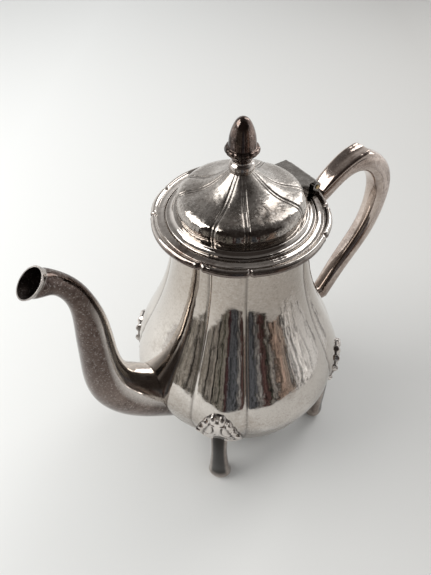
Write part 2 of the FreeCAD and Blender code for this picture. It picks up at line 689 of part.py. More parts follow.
# Hinge: bracket with two knuckles on the rim, pin, and the lid's leaf with the middle knuckle.
pin_x = "(%s + %s)" % (gallery_out, s("pin_out"))
pin_z = "(%s + %s)" % (rim_top, s("pin_rise"))
plate_top = "%s + %s" % (rim_top, s("bracket_thickness"))
fixed_from = "%s + %s" % (s("knuckle_half_width"), s("knuckle_gap"))
fixed_width = "%s - (%s)" % (s("bracket_half_width"), fixed_from)
bracket_parts = [block("bracket_plate", "%s - %s" % (pin_x, s("bracket_ahead")),
                       "%s + %s" % (pin_x, s("bracket_behind")), s("bracket_half_width"), rim_top, plate_top)]
for name, from_y in (("left", fixed_from), ("right", "-(%s)" % s("bracket_half_width"))):
    web = doc.addObject("Part::Box", "bracket_web_" + name)
    bind(web, Length="2 * " + s("web_half_thickness"), Width=fixed_width,
         Height=s("pin_rise"))
    bind(web, Placement__Base__x="%s - %s" % (pin_x, s("web_half_thickness")),
         Placement__Base__y=from_y, Placement__Base__z=rim_top)
    far_y = "(%s) + (%s)" % (from_y, fixed_width)
    barrel = rod("bracket_knuckle_" + name, s("knuckle_radius"), fixed_width, (1, 0, 0), "90",
                 x=pin_x, y=far_y, z=pin_z)
    bracket_parts.extend([web, barrel])
hinge_pin = rod("hinge_pin", s("pin_radius"), s("pin_length"), (1, 0, 0), "90", x=pin_x,
                y=s("pin_length") + " / 2", z=pin_z)
hinge_bracket = cut("hinge_bracket", fuse("bracket_solid", bracket_parts), hinge_pin)
roof_top = "(%s + %s)" % (pin_z, s("roof_rise"))
roof_low = "(%s - %s)" % (roof_top, s("roof_thickness"))
roof_front = "(%s - %s)" % (pin_x, s("roof_reach"))
leaf_knuckle = rod("leaf_knuckle", s("knuckle_radius"), "2 * " + s("knuckle_half_width"), (1, 0, 0), "90",
                   x=pin_x, y=s("knuckle_half_width"), z=pin_z)
leaf_bore = rod("leaf_bore", "%s + %s" % (s("pin_radius"), s("pin_play")), "4 * " + s("knuckle_half_width"),
                (1, 0, 0), "90", x=pin_x, y="2 * " + s("knuckle_half_width"), z=pin_z)
leaf_solid = fuse("leaf_solid", [
    block("roof_plate", roof_front, "%s - %s" % (pin_x, s("roof_clear")), s("roof_half_width"),
          roof_low, roof_top),
    block("roof_block", "%s + %s" % (bezel_in, s("block_inset")), "%s - %s" % (flange_out, s("block_land")),
          s("block_half_width"), flange_edge, roof_low),
    block("leaf_arm", roof_front, pin_x, s("knuckle_half_width"), "%s - %s" % (pin_z, s("arm_drop")),
          "%s + %s" % (pin_z, s("knuckle_radius"))),
    leaf_knuckle])
leaf_bored = cut("leaf_bored", leaf_solid, leaf_bore)
leaf_clear = cut("leaf_clear", leaf_bored, dome_outer)
hinge_leaf = cut("hinge_leaf", leaf_clear, lid_bezel)

# Finial on the lid, held by a stud, washer and nut.
collar_top = "(%s + %s)" % (dome_top, s("collar_height"))
cup_edge = "%s + %s" % (collar_top, s("cup_height"))
stud_top = "%s + %s" % (collar_top, s("stud_rise"))
finial_collar = revolved("finial_collar", [
    (s("stud_radius"), dome_top),
    (s("collar_foot_radius"), dome_top),
    (s("collar_radius"), "%s + %s" % (dome_top, s("collar_mid_rise"))),
    (s("collar_neck_radius"), collar_top),
    (s("stud_radius"), collar_top),
], {1: (s("collar_lower_curve"), True), 2: (s("collar_upper_curve"), True)})
finial_acorn = revolved("finial_acorn", [
    (s("stud_radius"), collar_top),
    (s("collar_neck_radius"), collar_top),
    (s("cup_radius"), "%s + %s" % (collar_top, s("cup_rise"))),
    (total("cup_radius", "-cup_edge_inset"), cup_edge),
    (s("nut_foot_radius"), cup_edge),
    (s("acorn_mid_radius"), "%s + %s" % (collar_top, s("acorn_mid_rise"))),
    (s("acorn_tip_radius"), "%s + %s" % (collar_top, s("acorn_tip_rise"))),
    ("0", "%s + %s" % (collar_top, s("acorn_height"))),
    ("0", stud_top),
    (s("stud_radius"), stud_top),
], {1: (s("cup_curve"), False), 4: (s("acorn_lower_curve"), True), 5: (s("acorn_upper_curve"), True)})
washer_low = "(%s - %s)" % (boss_under, s("washer_thickness"))
nut_low = "(%s - %s)" % (washer_low, s("nut_height"))
stud_low = "(%s - %s)" % (nut_low, s("stud_over"))
finial_stud = rod("finial_stud", s("stud_radius"), "%s - %s" % (stud_top, stud_low), z=stud_low)
finial_washer = revolved("finial_washer", [
    (s("stud_radius"), washer_low),
    (s("washer_radius"), washer_low),
    (s("washer_radius"), boss_under),
    (s("stud_radius"), boss_under),
])
nut_blank = doc.addObject("Part::Prism", "nut_blank")
nut_blank.Polygon = 6
bind(nut_blank, Circumradius=s("nut_radius"), Height=s("nut_height"))
bind(nut_blank, Placement__Base__z=nut_low)
finial_nut = cut("finial_nut", nut_blank, finial_stud)

doc.recompute()

NODES = ["body_panel_%d" % corner for corner in range(1, 9)]
NODES += ["leg_%d" % corner for corner in range(1, 5)]
NODES += ["knee_shell_%d" % corner for corner in range(1, 5)]
NODES += ["base_plate", "rim_collar", "spout", "spout_strainer", "handle", "handle_stub", "thumb_leaf"]
NODES += ["hinge_bracket", "hinge_pin", "lid_dome", "lid_bezel", "hinge_leaf"]
NODES += ["finial_collar", "finial_acorn", "finial_stud", "finial_washer", "finial_nut"]
for thing in doc.Objects:
    state = list(getattr(thing, "State", []))
    if "Invalid" in state or "Error" in state:
        raise RuntimeError("%s did not build: %s" % (thing.Label, state))
os.makedirs("parts", exist_ok=True)
for name in NODES:
    shape = doc.getObject(name).Shape
    if shape.isNull() or not shape.isValid() or not shape.Solids:
        raise RuntimeError("%s has no sound solid" % name)
    shape.exportStep("parts/%s.step" % name)
    print("%-16s solids %d volume %.1f" % (name, len(shape.Solids), shape.Volume))
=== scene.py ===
import math
import bpy
import bmesh
from mathutils import Matrix, Vector


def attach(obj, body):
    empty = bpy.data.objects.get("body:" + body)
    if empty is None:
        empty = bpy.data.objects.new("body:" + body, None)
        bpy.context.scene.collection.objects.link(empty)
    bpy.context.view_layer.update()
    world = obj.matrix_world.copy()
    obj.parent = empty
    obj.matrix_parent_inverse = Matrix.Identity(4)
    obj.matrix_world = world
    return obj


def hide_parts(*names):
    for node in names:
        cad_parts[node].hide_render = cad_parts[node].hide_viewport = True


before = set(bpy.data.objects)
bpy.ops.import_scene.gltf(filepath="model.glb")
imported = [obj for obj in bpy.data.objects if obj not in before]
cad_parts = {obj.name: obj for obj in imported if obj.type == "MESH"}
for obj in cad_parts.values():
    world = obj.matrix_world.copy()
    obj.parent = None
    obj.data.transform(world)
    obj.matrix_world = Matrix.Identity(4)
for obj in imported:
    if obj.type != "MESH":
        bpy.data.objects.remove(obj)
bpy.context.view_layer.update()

MM = 0.001
FULL_TURN = 2 * math.pi
QUARTER = math.pi / 2
SHARP_EDGE = math.radians(42)
SAME_PLACE = 0.001 * MM

# The pot has four wide and four narrow panels, with a crease between each two.
HALF_WIDE = math.pi / 6
HALF_NARROW = math.pi / 12

# Stations along the pieces in millimetres and degrees, after those of the part.
# Body: height, panel radius.
BODY = [(16.0, 39.5), (22.0, 44.8), (32.0, 50.8), (46.0, 57.5), (60.0, 62.3), (73.0, 65.3),
        (87.0, 62.2), (101.0, 56.0), (119.0, 47.6), (137.0, 41.2), (156.0, 37.2), (176.6, 36.0)]
BODY_WALL = 1.2
BODY_CREASE = 0.972
BODY_ROWS = 400
# Spout: x, z, radius, lean of the section.
SPOUT = [(-48.0, 53.5, 15.6, 45.0), (-60.0, 65.5, 15.9, 44.0), (-71.0, 77.0, 15.8, 42.0),
         (-80.0, 88.5, 14.8, 33.0), (-85.6, 100.0, 13.1, 19.0), (-87.8, 113.0, 11.2, 4.0),
         (-87.8, 127.0, 9.7, -2.0), (-87.1, 142.0, 8.8, -2.5), (-86.8, 155.0, 7.6, 2.0),
         (-88.0, 167.5, 6.1, 10.0), (-91.6, 178.5, 5.3, 28.0), (-97.0, 185.3, 5.5, 50.0),
         (-102.2, 188.4, 6.6, 66.0), (-108.0, 191.6, 7.2, 60.0)]
SPOUT_WALL = 1.1
MOUTH = Vector((-103.6, 0.0, 191.0))
MOUTH_LEAN = math.radians(36.2)
# Handle, its stub and the thumb leaf: x, z, heading, half width, half depth.
HANDLE = [(28.0, 157.0, 14.0, 5.2, 5.0), (44.0, 162.2, 27.0, 5.2, 4.8), (57.4, 169.6, 37.0, 5.2, 4.7),
          (67.4, 176.5, 27.0, 5.4, 4.8), (76.6, 179.6, 7.0, 5.7, 5.2), (85.6, 178.8, -20.0, 6.1, 5.8),
          (94.6, 173.6, -43.0, 6.4, 6.2), (101.6, 165.2, -58.0, 6.5, 6.4), (105.6, 154.8, -79.0, 6.5, 6.4),
          (106.4, 144.0, -91.0, 6.3, 6.2), (104.8, 132.0, -106.0, 6.1, 6.0), (100.2, 120.0, -118.0, 6.0, 5.9),
          (92.0, 107.6, -126.0, 5.9, 5.7), (83.0, 94.6, -123.0, 5.7, 5.5), (76.2, 83.0, -121.0, 5.5, 5.4),
          (67.0, 67.7, -121.0, 5.5, 5.4)]
STUB = [(53.0, 77.7, 0.0, 5.5, 5.4), (70.0, 77.7, 0.0, 5.5, 5.4), (93.0, 77.7, 0.0, 5.5, 5.4)]
MITRE = Vector((73.0, 0.0, 77.7))
MITRE_TURN = math.radians(-150.5)
LEAF = [(51.8, 170.6, 36.0, 4.6, 1.1), (59.0, 176.4, 37.0, 5.3, 1.4), (66.4, 181.3, 28.0, 5.8, 1.6),
        (76.2, 185.2, 11.0, 6.3, 1.8), (84.8, 185.9, -4.0, 6.2, 1.9)]
# Leg: height, distance from the pot's axis, half width, half depth.
LEG = [(60.0, 58.6, 5.4, 3.6), (48.0, 60.2, 5.1, 3.5), (34.0, 61.0, 5.1, 3.4), (20.0, 60.8, 6.0, 3.8),
       (9.0, 60.0, 7.2, 5.0), (2.5, 59.2, 7.0, 5.4), (0.0, 59.0, 5.2, 3.8)]
# Dome: height, panel radius. The hollow under it follows all but the last station, a wall's thickness inside.
DOME = [(182.6, 32.2), (185.8, 32.6), (189.4, 31.7), (191.8, 29.4), (193.2, 25.0), (194.3, 20.0),
        (196.6, 15.0), (200.2, 10.0), (204.0, 5.6)]
DOME_LEANS = [0.0, 0.0, 30.0, 60.0, 78.0, 72.0, 60.0, 47.0]
DOME_WALL = 1.1
DOME_CREASE = 0.975
HOLLOW = [(z - DOME_WALL * math.sin(math.radians(lean)), r - DOME_WALL * math.cos(math.radians(lean)))
          for (z, r), lean in zip(DOME, DOME_LEANS)]
STUD_HOLE = 2.0

# Turned profiles: radius, height.
BASE = [(0.0, 16.6), (30.0, 16.6), (33.0, 14.6), (39.9, 14.6), (39.9, 16.0), (33.0, 16.0), (30.0, 18.0),
        (0.0, 18.0)]
RIM = [(34.8, 176.6), (43.6, 176.6), (44.7, 177.0), (45.35, 177.9), (45.5, 178.9), (45.3, 179.8),
       (44.7, 180.6), (43.9, 181.0), (43.1, 180.9), (42.5, 180.4), (41.9, 180.1), (41.6, 180.05),
       (41.4, 179.75), (41.2, 180.0), (40.4, 180.0), (39.6, 180.1), (38.8, 180.3), (38.1, 180.4),
       (38.1, 179.2), (34.8, 179.2)]
BEZEL = [(31.0, 172.5), (33.2, 172.5), (33.2, 179.4), (37.4, 179.4), (37.4, 180.6), (37.0, 180.95),
         (36.2, 180.9), (35.4, 181.0), (34.6, 181.4), (34.0, 182.0), (33.5, 182.6), (31.0, 182.6)]
COLLAR = [(2.0, 204.0), (5.2, 204.0), (5.9, 204.6), (6.25, 205.6), (6.25, 206.8), (5.8, 207.9),
          (5.0, 208.5), (4.7, 209.0), (4.75, 209.4), (2.0, 209.4)]
ACORN = [(0.0, 217.0), (2.0, 217.0), (2.0, 209.4), (4.7, 209.4), (4.9, 210.4), (5.6, 211.6), (6.8, 212.8),
         (7.8, 213.8), (8.1, 214.6), (7.9, 215.6), (7.3, 216.1), (6.5, 216.1), (6.4, 217.4), (6.25, 219.4),
         (5.9, 221.6), (5.3, 223.7), (4.5, 225.8), (3.6, 227.6), (2.7, 228.8), (1.7, 229.55), (0.8, 229.9),
         (0.0, 230.0)]


# Curves and measures.
def spline(stations):
    """Natural cubic curve through the stations, over 0 to 1 by the length of its first two columns."""
    count = len(stations)
    knots = [0.0]
    for a, b in zip(stations, stations[1:]):
        knots.append(knots[-1] + math.hypot(b[0] - a[0], b[1] - a[1]))
    knots = [k / knots[-1] for k in knots]
    columns = []
    for y in zip(*stations):
        upper = [0.0] * count
        right = [0.0] * count
        for i in range(1, count - 1):
            before = knots[i] - knots[i - 1]
            after = knots[i + 1] - knots[i]
            slope = (y[i + 1] - y[i]) / after - (y[i] - y[i - 1]) / before
            pivot = 2 * (before + after) - before * upper[i - 1]
            upper[i] = after / pivot
            right[i] = (6 * slope - before * right[i - 1]) / pivot
        bend = [0.0] * count
        for i in range(count - 2, 0, -1):
            bend[i] = right[i] - upper[i] * bend[i + 1]
        columns.append((y, bend))

    def at(t):
        i = 0
        while i < count - 2 and t > knots[i + 1]:
            i += 1
        h = knots[i + 1] - knots[i]
        a = (knots[i + 1] - t) / h
        b = 1 - a
        return [a * y[i] + b * y[i + 1] + ((a ** 3 - a) * m[i] + (b ** 3 - b) * m[i + 1]) * h * h / 6
                for y, m in columns]
    return at


def limited(value, low=0.0, high=1.0):
    return min(max(value, low), high)


def hump(distance, width):
    """Smooth bump, 1 in the middle."""
    return math.exp(-(distance / width) ** 2)


def panel(angle, crease):
    """Radius at an angle, as a share of the panel radius; each panel bulges between its two creases."""
    turn = (angle + HALF_WIDE) % QUARTER - HALF_WIDE
    half = HALF_WIDE
    if turn > half:
        turn -= QUARTER / 2
        half = HALF_NARROW
    shift = (1 - crease ** 2) / (2 * (1 - crease * math.cos(half)))
    return shift * math.cos(turn) + math.sqrt((1 - shift) ** 2 - (shift * math.sin(turn)) ** 2)


def from_crease(angle):
    """Angle to the nearest crease."""
    turn = angle % QUARTER
    return min(abs(turn - HALF_WIDE), abs(turn - 2 * HALF_WIDE))


def squarish(angle, width, depth, power):
    """Depth and width of a squarish oval at an angle; the higher the power, the squarer it is."""
    c = math.cos(angle)
    s = math.sin(angle)
    return math.copysign(abs(c) ** (2 / power), c) * depth, math.copysign(abs(s) ** (2 / power), s) * width


body_curve = spline(BODY)
body_rows = [body_curve(i / BODY_ROWS) for i in range(BODY_ROWS + 1)]


def body_radius(height):
    """Panel radius of the body at a height."""
    low, high = 0, BODY_ROWS
    while high - low > 1:
        middle = (low + high) // 2
        if body_rows[middle][0] <= height:
            low = middle
        else:
            high = middle
    (z0, r0), (z1, r1) = body_rows[low], body_rows[high]
    return r0 + (r1 - r0) * (height - z0) / (z1 - z0)


def outside_body(point):
    """How far a point stands outside the body; negative inside."""
    radius = body_radius(limited(point[2], BODY[0][0], BODY[-1][0]))
    return math.hypot(point[0], point[1]) - radius * panel(math.atan2(point[1], point[0]), BODY_CREASE)


def turns_positive(measure, low, high):
    """Where between low and high a measure goes from below nought to above it, by halving."""
    for _ in range(40):
        middle = (low + high) / 2
        if measure(middle) < 0:
            low = middle
        else:
            high = middle
    return low


# Shader nodes.
def new_look(name):
    look = bpy.data.materials.new(name)
    look.use_nodes = True
    look.node_tree.nodes.clear()
    return look, look.node_tree


def put(tree, kind, **values):
    """New node; each value goes to the input of that name, or else to the node's own setting."""
    node = tree.nodes.new(kind)
    for key, value in values.items():
        if key in node.inputs:
            node.inputs[key].default_value = value
        else:
            setattr(node, key, value)
    return node


def feed(tree, socket, value):
    """Links an output to a socket, or sets the socket to a number or colour."""
    if isinstance(value, tuple):
        socket.default_value = (*value, 1)
    elif isinstance(value, (int, float)):
        socket.default_value = value
    else:
        tree.links.new(value, socket)


def ramp(tree, source, stops, blend="LINEAR"):
    node = put(tree, "ShaderNodeValToRGB")
    node.color_ramp.interpolation = blend
    while len(node.color_ramp.elements) < len(stops):
        node.color_ramp.elements.new(0.5)
    for element, (place, shade) in zip(node.color_ramp.elements, stops):
        element.position = place
        element.color = (*shade, 1)
    tree.links.new(source, node.inputs["Fac"])
    return node.outputs["Color"]


def noise(tree, place, scale, detail=4.0, rough=0.55):
    node = put(tree, "ShaderNodeTexNoise", Scale=scale, Detail=detail, Roughness=rough)
    tree.links.new(place, node.inputs["Vector"])
    return node.outputs["Fac"]


def calc(tree, operation, first, second=0.0):
    node = put(tree, "ShaderNodeMath", operation=operation)
    feed(tree, node.inputs[0], first)
    feed(tree, node.inputs[1], second)
    return node.outputs[0]


def times(tree, first, second):
    return calc(tree, "MULTIPLY", first, second)


def mixed(tree, share, first, second):
    """Colour between two; inputs 6 and 7 and output 2 are the node's colour sockets."""
    node = put(tree, "ShaderNodeMix", data_type="RGBA")
    feed(tree, node.inputs[0], share)
    feed(tree, node.inputs[6], first)
    feed(tree, node.inputs[7], second)
    return node.outputs[2]


def spread(tree, source, low, high, to_low, to_high):
    node = put(tree, "ShaderNodeMapRange")
    for name, value in (("From Min", low), ("From Max", high), ("To Min", to_low), ("To Max", to_high)):
        node.inputs[name].default_value = value
    tree.links.new(source, node.inputs["Value"])
    return node.outputs["Result"]


def dot(tree, place, direction):
    node = put(tree, "ShaderNodeVectorMath", operation="DOT_PRODUCT")
    node.inputs[1].default_value = direction
    tree.links.new(place, node.inputs[0])
    return node.outputs["Value"]


def attribute(tree, name):
    return put(tree, "ShaderNodeAttribute", attribute_name=name).outputs["Fac"]


# Finishes. The plate's noises are given in waves per metre.
CLOUD_SCALE = 34.0
HAZE_SCALE = 58.0
FINE_SCALE = 420.0
DOT_SCALE = 1000.0
HAZED = (0.29, 0.25, 0.215)
SPECK = (0.93, 0.90, 0.87)
PIT = (0.09, 0.08, 0.07)
BLACKENED = (0.04, 0.032, 0.028)


def plated(name, clean, stain, stained, polish, hazed=(0.36, 0.62), specks=0.1, pits=0.0, waves=0.0,
           wave_scale=70.0, haze_shade=0.0, haze_heights=None, stain_and_sheen_heights=None,
           tarnish_and_shade=(BLACKENED, 0.0), painted_sheen_and_lip=None):
    """Silver plate: clouds of stain on the clean metal, hazed patches, fine specks and pits, tarnish dark in
    hollows, and painted shade and highlight where a piece's layers mark them.

    stained and hazed are the noise levels where stain and haze begin and where they are full, polish is the
    roughness without haze and with it. Heights are (from, to, share at from, share at to), in metres.
    """
    look, tree = new_look(name)
    links = tree.links
    shader = put(tree, "ShaderNodeBsdfPrincipled", Metallic=1.0)
    links.new(shader.outputs[0], put(tree, "ShaderNodeOutputMaterial").inputs[0])
    place = put(tree, "ShaderNodeTexCoord").outputs["Object"]
    height = dot(tree, place, (0, 0, 1))
    fine = noise(tree, place, FINE_SCALE, 3.0, 0.6)
    dots = noise(tree, place, DOT_SCALE, 2.0, 0.7)
    cloud = times(tree, noise(tree, place, CLOUD_SCALE, 5.0, 0.6), 0.75)
    cloud = calc(tree, "ADD", cloud, times(tree, fine, 0.25))
    share = spread(tree, cloud, *stained, 0.0, 1.0)
    # Stain share by height: tarnish at the body's neck; on the spout the less stained, lighter root is a
    # painted highlight.
    if stain_and_sheen_heights:
        by_height = times(tree, spread(tree, height, *stain_and_sheen_heights), spread(tree, fine, 0.3, 0.7, 0.7, 1.0))
        share = calc(tree, "MAXIMUM", share, by_height)
    colour = mixed(tree, share, clean, stain)
    # Painted highlight on the side the spout turns to the pot, and a lighter lip.
    if painted_sheen_and_lip:
        colour = mixed(tree, attribute(tree, "painted_sheen_and_lip"), colour, painted_sheen_and_lip)
    haze = spread(tree, noise(tree, place, HAZE_SCALE, 6.0, 0.65), *hazed, 0.0, 1.0)
    if haze_heights:
        haze = times(tree, haze, spread(tree, height, *haze_heights))
    speck = spread(tree, dots, 0.56, 0.68, 0.0, specks)
    if haze_shade:
        colour = mixed(tree, times(tree, haze, haze_shade), colour, HAZED)
        speck = times(tree, speck, spread(tree, haze, 0.0, 0.7, 0.2, 1.0))
    colour = mixed(tree, speck, colour, SPECK)
    if pits:
        colour = mixed(tree, spread(tree, dots, 0.33, 0.43, pits, 0.0), colour, PIT)
    dull = calc(tree, "ADD", spread(tree, haze, 0.0, 1.0, *polish), times(tree, speck, 0.25))
    shade, strength = tarnish_and_shade
    if strength:
        # Darkening layer: tarnish in hollows, painted shade on the rim's bead, painted dark reflection down
        # the legs.
        depth = attribute(tree, "tarnish_and_shade")
        colour = mixed(tree, times(tree, depth, strength), colour, shade)
        dull = calc(tree, "ADD", dull, times(tree, depth, 0.12))
    links.new(colour, shader.inputs["Base Color"])
    links.new(dull, shader.inputs["Roughness"])
    grain = put(tree, "ShaderNodeBump", Strength=0.05, Distance=0.0002)
    links.new(calc(tree, "ADD", fine, times(tree, dots, 0.4)), grain.inputs["Height"])
    if waves:
        dents = put(tree, "ShaderNodeBump", Strength=waves, Distance=0.002)
        links.new(noise(tree, place, wave_scale, 2.0, 0.5), dents.inputs["Height"])
        links.new(dents.outputs[0], grain.inputs["Normal"])
    links.new(grain.outputs[0], shader.inputs["Normal"])
    return look


def dull_brass(name):
    look, tree = new_look(name)
    shader = put(tree, "ShaderNodeBsdfPrincipled", Metallic=1.0)
    tree.links.new(shader.outputs[0], put(tree, "ShaderNodeOutputMaterial").inputs[0])
    cloud = noise(tree, put(tree, "ShaderNodeTexCoord").outputs["Object"], 260.0, 5.0, 0.6)
    tarnish = ramp(tree, cloud, [(0.35, (0.30, 0.21, 0.10)), (0.65, (0.66, 0.50, 0.26))])
    tree.links.new(tarnish, shader.inputs["Base Color"])
    tree.links.new(spread(tree, cloud, 0.3, 0.7, 0.5, 0.25), shader.inputs["Roughness"])
    return look


body_look = plated("body_plate", (0.72, 0.675, 0.63), (0.34, 0.285, 0.235), (0.50, 0.80), (0.04, 0.30),
                   (0.28, 0.50), specks=0.5, pits=0.25, waves=0.10, haze_shade=0.85,
                   haze_heights=(0.060, 0.088, 1.0, 0.10), stain_and_sheen_heights=(0.108, 0.150, 0.0, 0.75),
                   tarnish_and_shade=(BLACKENED, 0.45))
lid_look = plated("lid_plate", (0.50, 0.465, 0.43), (0.24, 0.207, 0.18), (0.44, 0.64), (0.05, 0.30),
                  (0.20, 0.50), specks=0.30, pits=0.55, waves=0.22, wave_scale=190.0,
                  haze_heights=(0.1905, 0.1930, 0.05, 1.0), tarnish_and_shade=(BLACKENED, 0.75))
# The rim's dark colour is tarnish in the nicks and painted shade below the bead's crest.
rim_look = plated("rim_plate", (0.68, 0.63, 0.585), (0.20, 0.145, 0.12), (0.50, 0.68), (0.04, 0.16),
                  (0.4, 0.7), specks=0.2, waves=0.14, wave_scale=110.0, tarnish_and_shade=((0.065, 0.036, 0.027), 0.92))
bezel_look = plated("bezel_plate", (0.62, 0.575, 0.535), (0.22, 0.18, 0.155), (0.52, 0.74), (0.03, 0.10),
                    specks=0.12, waves=0.14, wave_scale=110.0)
# Painted highlight: the spout's side towards the pot is lightened.
spout_look = plated("spout_plate", (0.27, 0.215, 0.19), (0.075, 0.053, 0.045), (0.40, 0.60), (0.05, 0.22),
                    # Stain grows up the spout; the lighter root below it is also a painted highlight.
                    specks=0.2, pits=0.3, waves=0.10, stain_and_sheen_heights=(0.078, 0.128, 0.0, 1.0),
                    painted_sheen_and_lip=(0.72, 0.68, 0.64))
bore_look = plated("bore_plate", (0.06, 0.045, 0.04), (0.02, 0.015, 0.013), (0.38, 0.64), (0.3, 0.5))
handle_look = plated("handle_plate", (0.60, 0.51, 0.455), (0.27, 0.20, 0.165), (0.44, 0.66), (0.04, 0.16),
                     specks=0.25, pits=0.2, waves=0.06)
finial_look = plated("finial_plate", (0.25, 0.19, 0.165), (0.02, 0.015, 0.012), (0.42, 0.58), (0.03, 0.10),
                     specks=0.15, tarnish_and_shade=(BLACKENED, 0.8))
collar_look = plated("collar_plate", (0.66, 0.61, 0.57), (0.20, 0.16, 0.14), (0.46, 0.66), (0.04, 0.12))
knee_look = plated("knee_plate", (0.76, 0.71, 0.67), (0.40, 0.34, 0.30), (0.50, 0.78), (0.06, 0.22),
                   tarnish_and_shade=(BLACKENED, 0.92))
# The legs' near-black darkening colour is a painted dark reflection.
leg_look = plated("leg_plate", (0.56, 0.50, 0.455), (0.20, 0.15, 0.125), (0.42, 0.66), (0.04, 0.12),
                  tarnish_and_shade=((0.012, 0.009, 0.007), 0.98))
hinge_look = plated("hinge_plate", (0.42, 0.40, 0.375), (0.15, 0.125, 0.11), (0.40, 0.64), (0.10, 0.30),
                    specks=0.2)
brass_look = dull_brass("fixing_brass")


# Making of pieces.
def placed(name, bm):
    """New object of a mesh, which is then done with."""
    mesh = bpy.data.meshes.new(name)
    bm.to_mesh(mesh)
    bm.free()
    piece = bpy.data.objects.new(name, mesh)
    bpy.context.scene.collection.objects.link(piece)
    return piece


def dress(piece, look):
    piece.data.materials.clear()
    piece.data.materials.append(look)


def shown(name, bm, body, nodes, slot_name, *looks):
    """Puts a finished mesh into the scene, on its body and in place of the solids it stands for."""
    for edge in bm.edges:
        edge.smooth = edge.calc_face_angle(0.0) < SHARP_EDGE
    for face in bm.faces:
        face.smooth = True
    piece = placed(name, bm)
    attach(piece, body)
    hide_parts(*nodes)
    for look in looks:
        piece.data.materials.append(look)
    return piece


def everything(bm):
    return bm.verts[:] + bm.edges[:] + bm.faces[:]


def turned(profile, turns, ease=0.0, segments=3):
    """Profile with eased corners, turned about the pot's axis; one that meets the axis twice stays open."""
    bm = bmesh.new()
    corners = [bm.verts.new((radius * MM, 0, height * MM)) for radius, height in profile]
    closed = profile[0][0] > 0 or profile[-1][0] > 0
    for a, b in zip(corners, corners[1:] + corners[:1] if closed else corners[1:]):
        bm.edges.new((a, b))
    for corner in corners if ease else []:
        sides = [edge.calc_length() for edge in corner.link_edges]
        if len(sides) == 2 and corner.co.x > 0:
            offset = min(ease * MM, 0.45 * min(sides))
            bmesh.ops.bevel(bm, geom=[corner], offset=offset, offset_type="OFFSET", segments=segments,
                            profile=0.5, affect="VERTICES", clamp_overlap=False, material=-1)
    bmesh.ops.spin(bm, geom=everything(bm), cent=(0, 0, 0), axis=(0, 0, 1), angle=QUARTER, steps=turns // 4)
    bmesh.ops.spin(bm, geom=everything(bm), cent=(0, 0, 0), axis=(0, 0, 1), angle=3 * QUARTER, steps=3,
                   use_duplicate=True)
    bmesh.ops.remove_doubles(bm, verts=bm.verts, dist=SAME_PLACE)
    bmesh.ops.recalc_face_normals(bm, faces=bm.faces)
    return bm


def pressed(bm, form):
    """Moves each vertex to the radius and height that form gives, and notes how dark form makes it: tarnish
    in hollows, and on the rim's bead painted shade.
    """
    layer = bm.verts.layers.float.new("tarnish_and_shade")
    for vert in bm.verts:
        x, y, z = vert.co / MM
        angle = math.atan2(y, x)
        radius, height, vert[layer] = form(math.hypot(x, y), z, angle)
        vert.co = Vector((radius * math.cos(angle), radius * math.sin(angle), height)) * MM
    return bm


def next_ring(bm, ring):
    """Extrudes a ring of vertices and gives the new ring in the same order."""
    edges = [bm.edges.get(pair) for pair in zip(ring, ring[1:] + ring[:1])]
    made = bmesh.ops.extrude_edge_only(bm, edges=edges)["geom"]
    made = {part for part in made if isinstance(part, bmesh.types.BMVert)}
    return [next(e.other_vert(v) for e in v.link_edges if e.other_vert(v) in made) for v in ring]


def line_angle(line, sides):
    """Angle round a drawn section of one of its lines."""
    return FULL_TURN * (line + 0.5) / sides


def drawn(bm, sides, steps, place, note=None):
    """Ring extruded step by step; place(share, angle, line) puts each vertex where it belongs.

    note is the name of a vertex layer and the function of share and angle that fills it.
    """
    layer = bm.verts.layers.float.new(note[0]) if note else None
    rings = [bmesh.ops.create_circle(bm, segments=sides, radius=MM)["verts"]]
    for _ in range(steps):
        rings.append(next_ring(bm, rings[-1]))
    for step, ring in enumerate(rings):
        for line, vert in enumerate(ring):
            angle = line_angle(line, sides)
            vert.co = Vector(place(step / steps, angle, line)) * MM
            if note:
                vert[layer] = note[1](step / steps, angle)
    return rings


def closed_ends(bm):
    bmesh.ops.holes_fill(bm, edges=[edge for edge in bm.edges if edge.is_boundary], sides=0)
    bmesh.ops.recalc_face_normals(bm, faces=bm.faces)
    return bm


def four_round(bm, name, node, look):
    """Four copies, a quarter turn apart, of a piece that points along +X."""
    for index in range(4):
        copy = bm.copy()
        turn = Matrix.Rotation(QUARTER / 2 + index * QUARTER, 3, "Z")
        bmesh.ops.rotate(copy, verts=copy.verts, cent=(0, 0, 0), matrix=turn)
        number = index + 1
        shown("%s_%d" % (name, number), copy, "pot", ["%s_%d" % (node, number)], "silver_ornament", look)
    bm.free()


# Body: hollow shell pressed into eight panels, with a fine line along each crease.
LINE_WIDTH = 0.75
LINE_DEPTH = 0.28


def body_form(radius, height, angle):
    line = 0.0
    if radius > body_radius(height) - BODY_WALL / 2:
        line = hump(from_crease(angle) * radius, LINE_WIDTH)
    return radius * panel(angle, BODY_CREASE) - LINE_DEPTH * line, height, line


outer = [(r, z) for z, r in (body_curve(i / 120) for i in range(121))]
inner = [(r - BODY_WALL, z) for z, r in (body_curve(i / 50) for i in range(50, -1, -1))]
body_nodes = ["body_panel_%d" % i for i in range(1, 9)] + ["spout_strainer"]
body_piece = shown("body_silver", pressed(turned(outer + inner, 480), body_form), "pot", body_nodes,
                   "silver_bright", body_look)

# Strainer: two rings of holes round a middle one, drilled through the wall behind the spout.
STRAINER = Vector((-63.0, 0.0, 69.0))
STRAINER_RINGS = [(0.0, 1), (4.6, 6), (9.2, 12)]
HOLE_RADIUS = 1.7
HOLE_LENGTH = 8.0

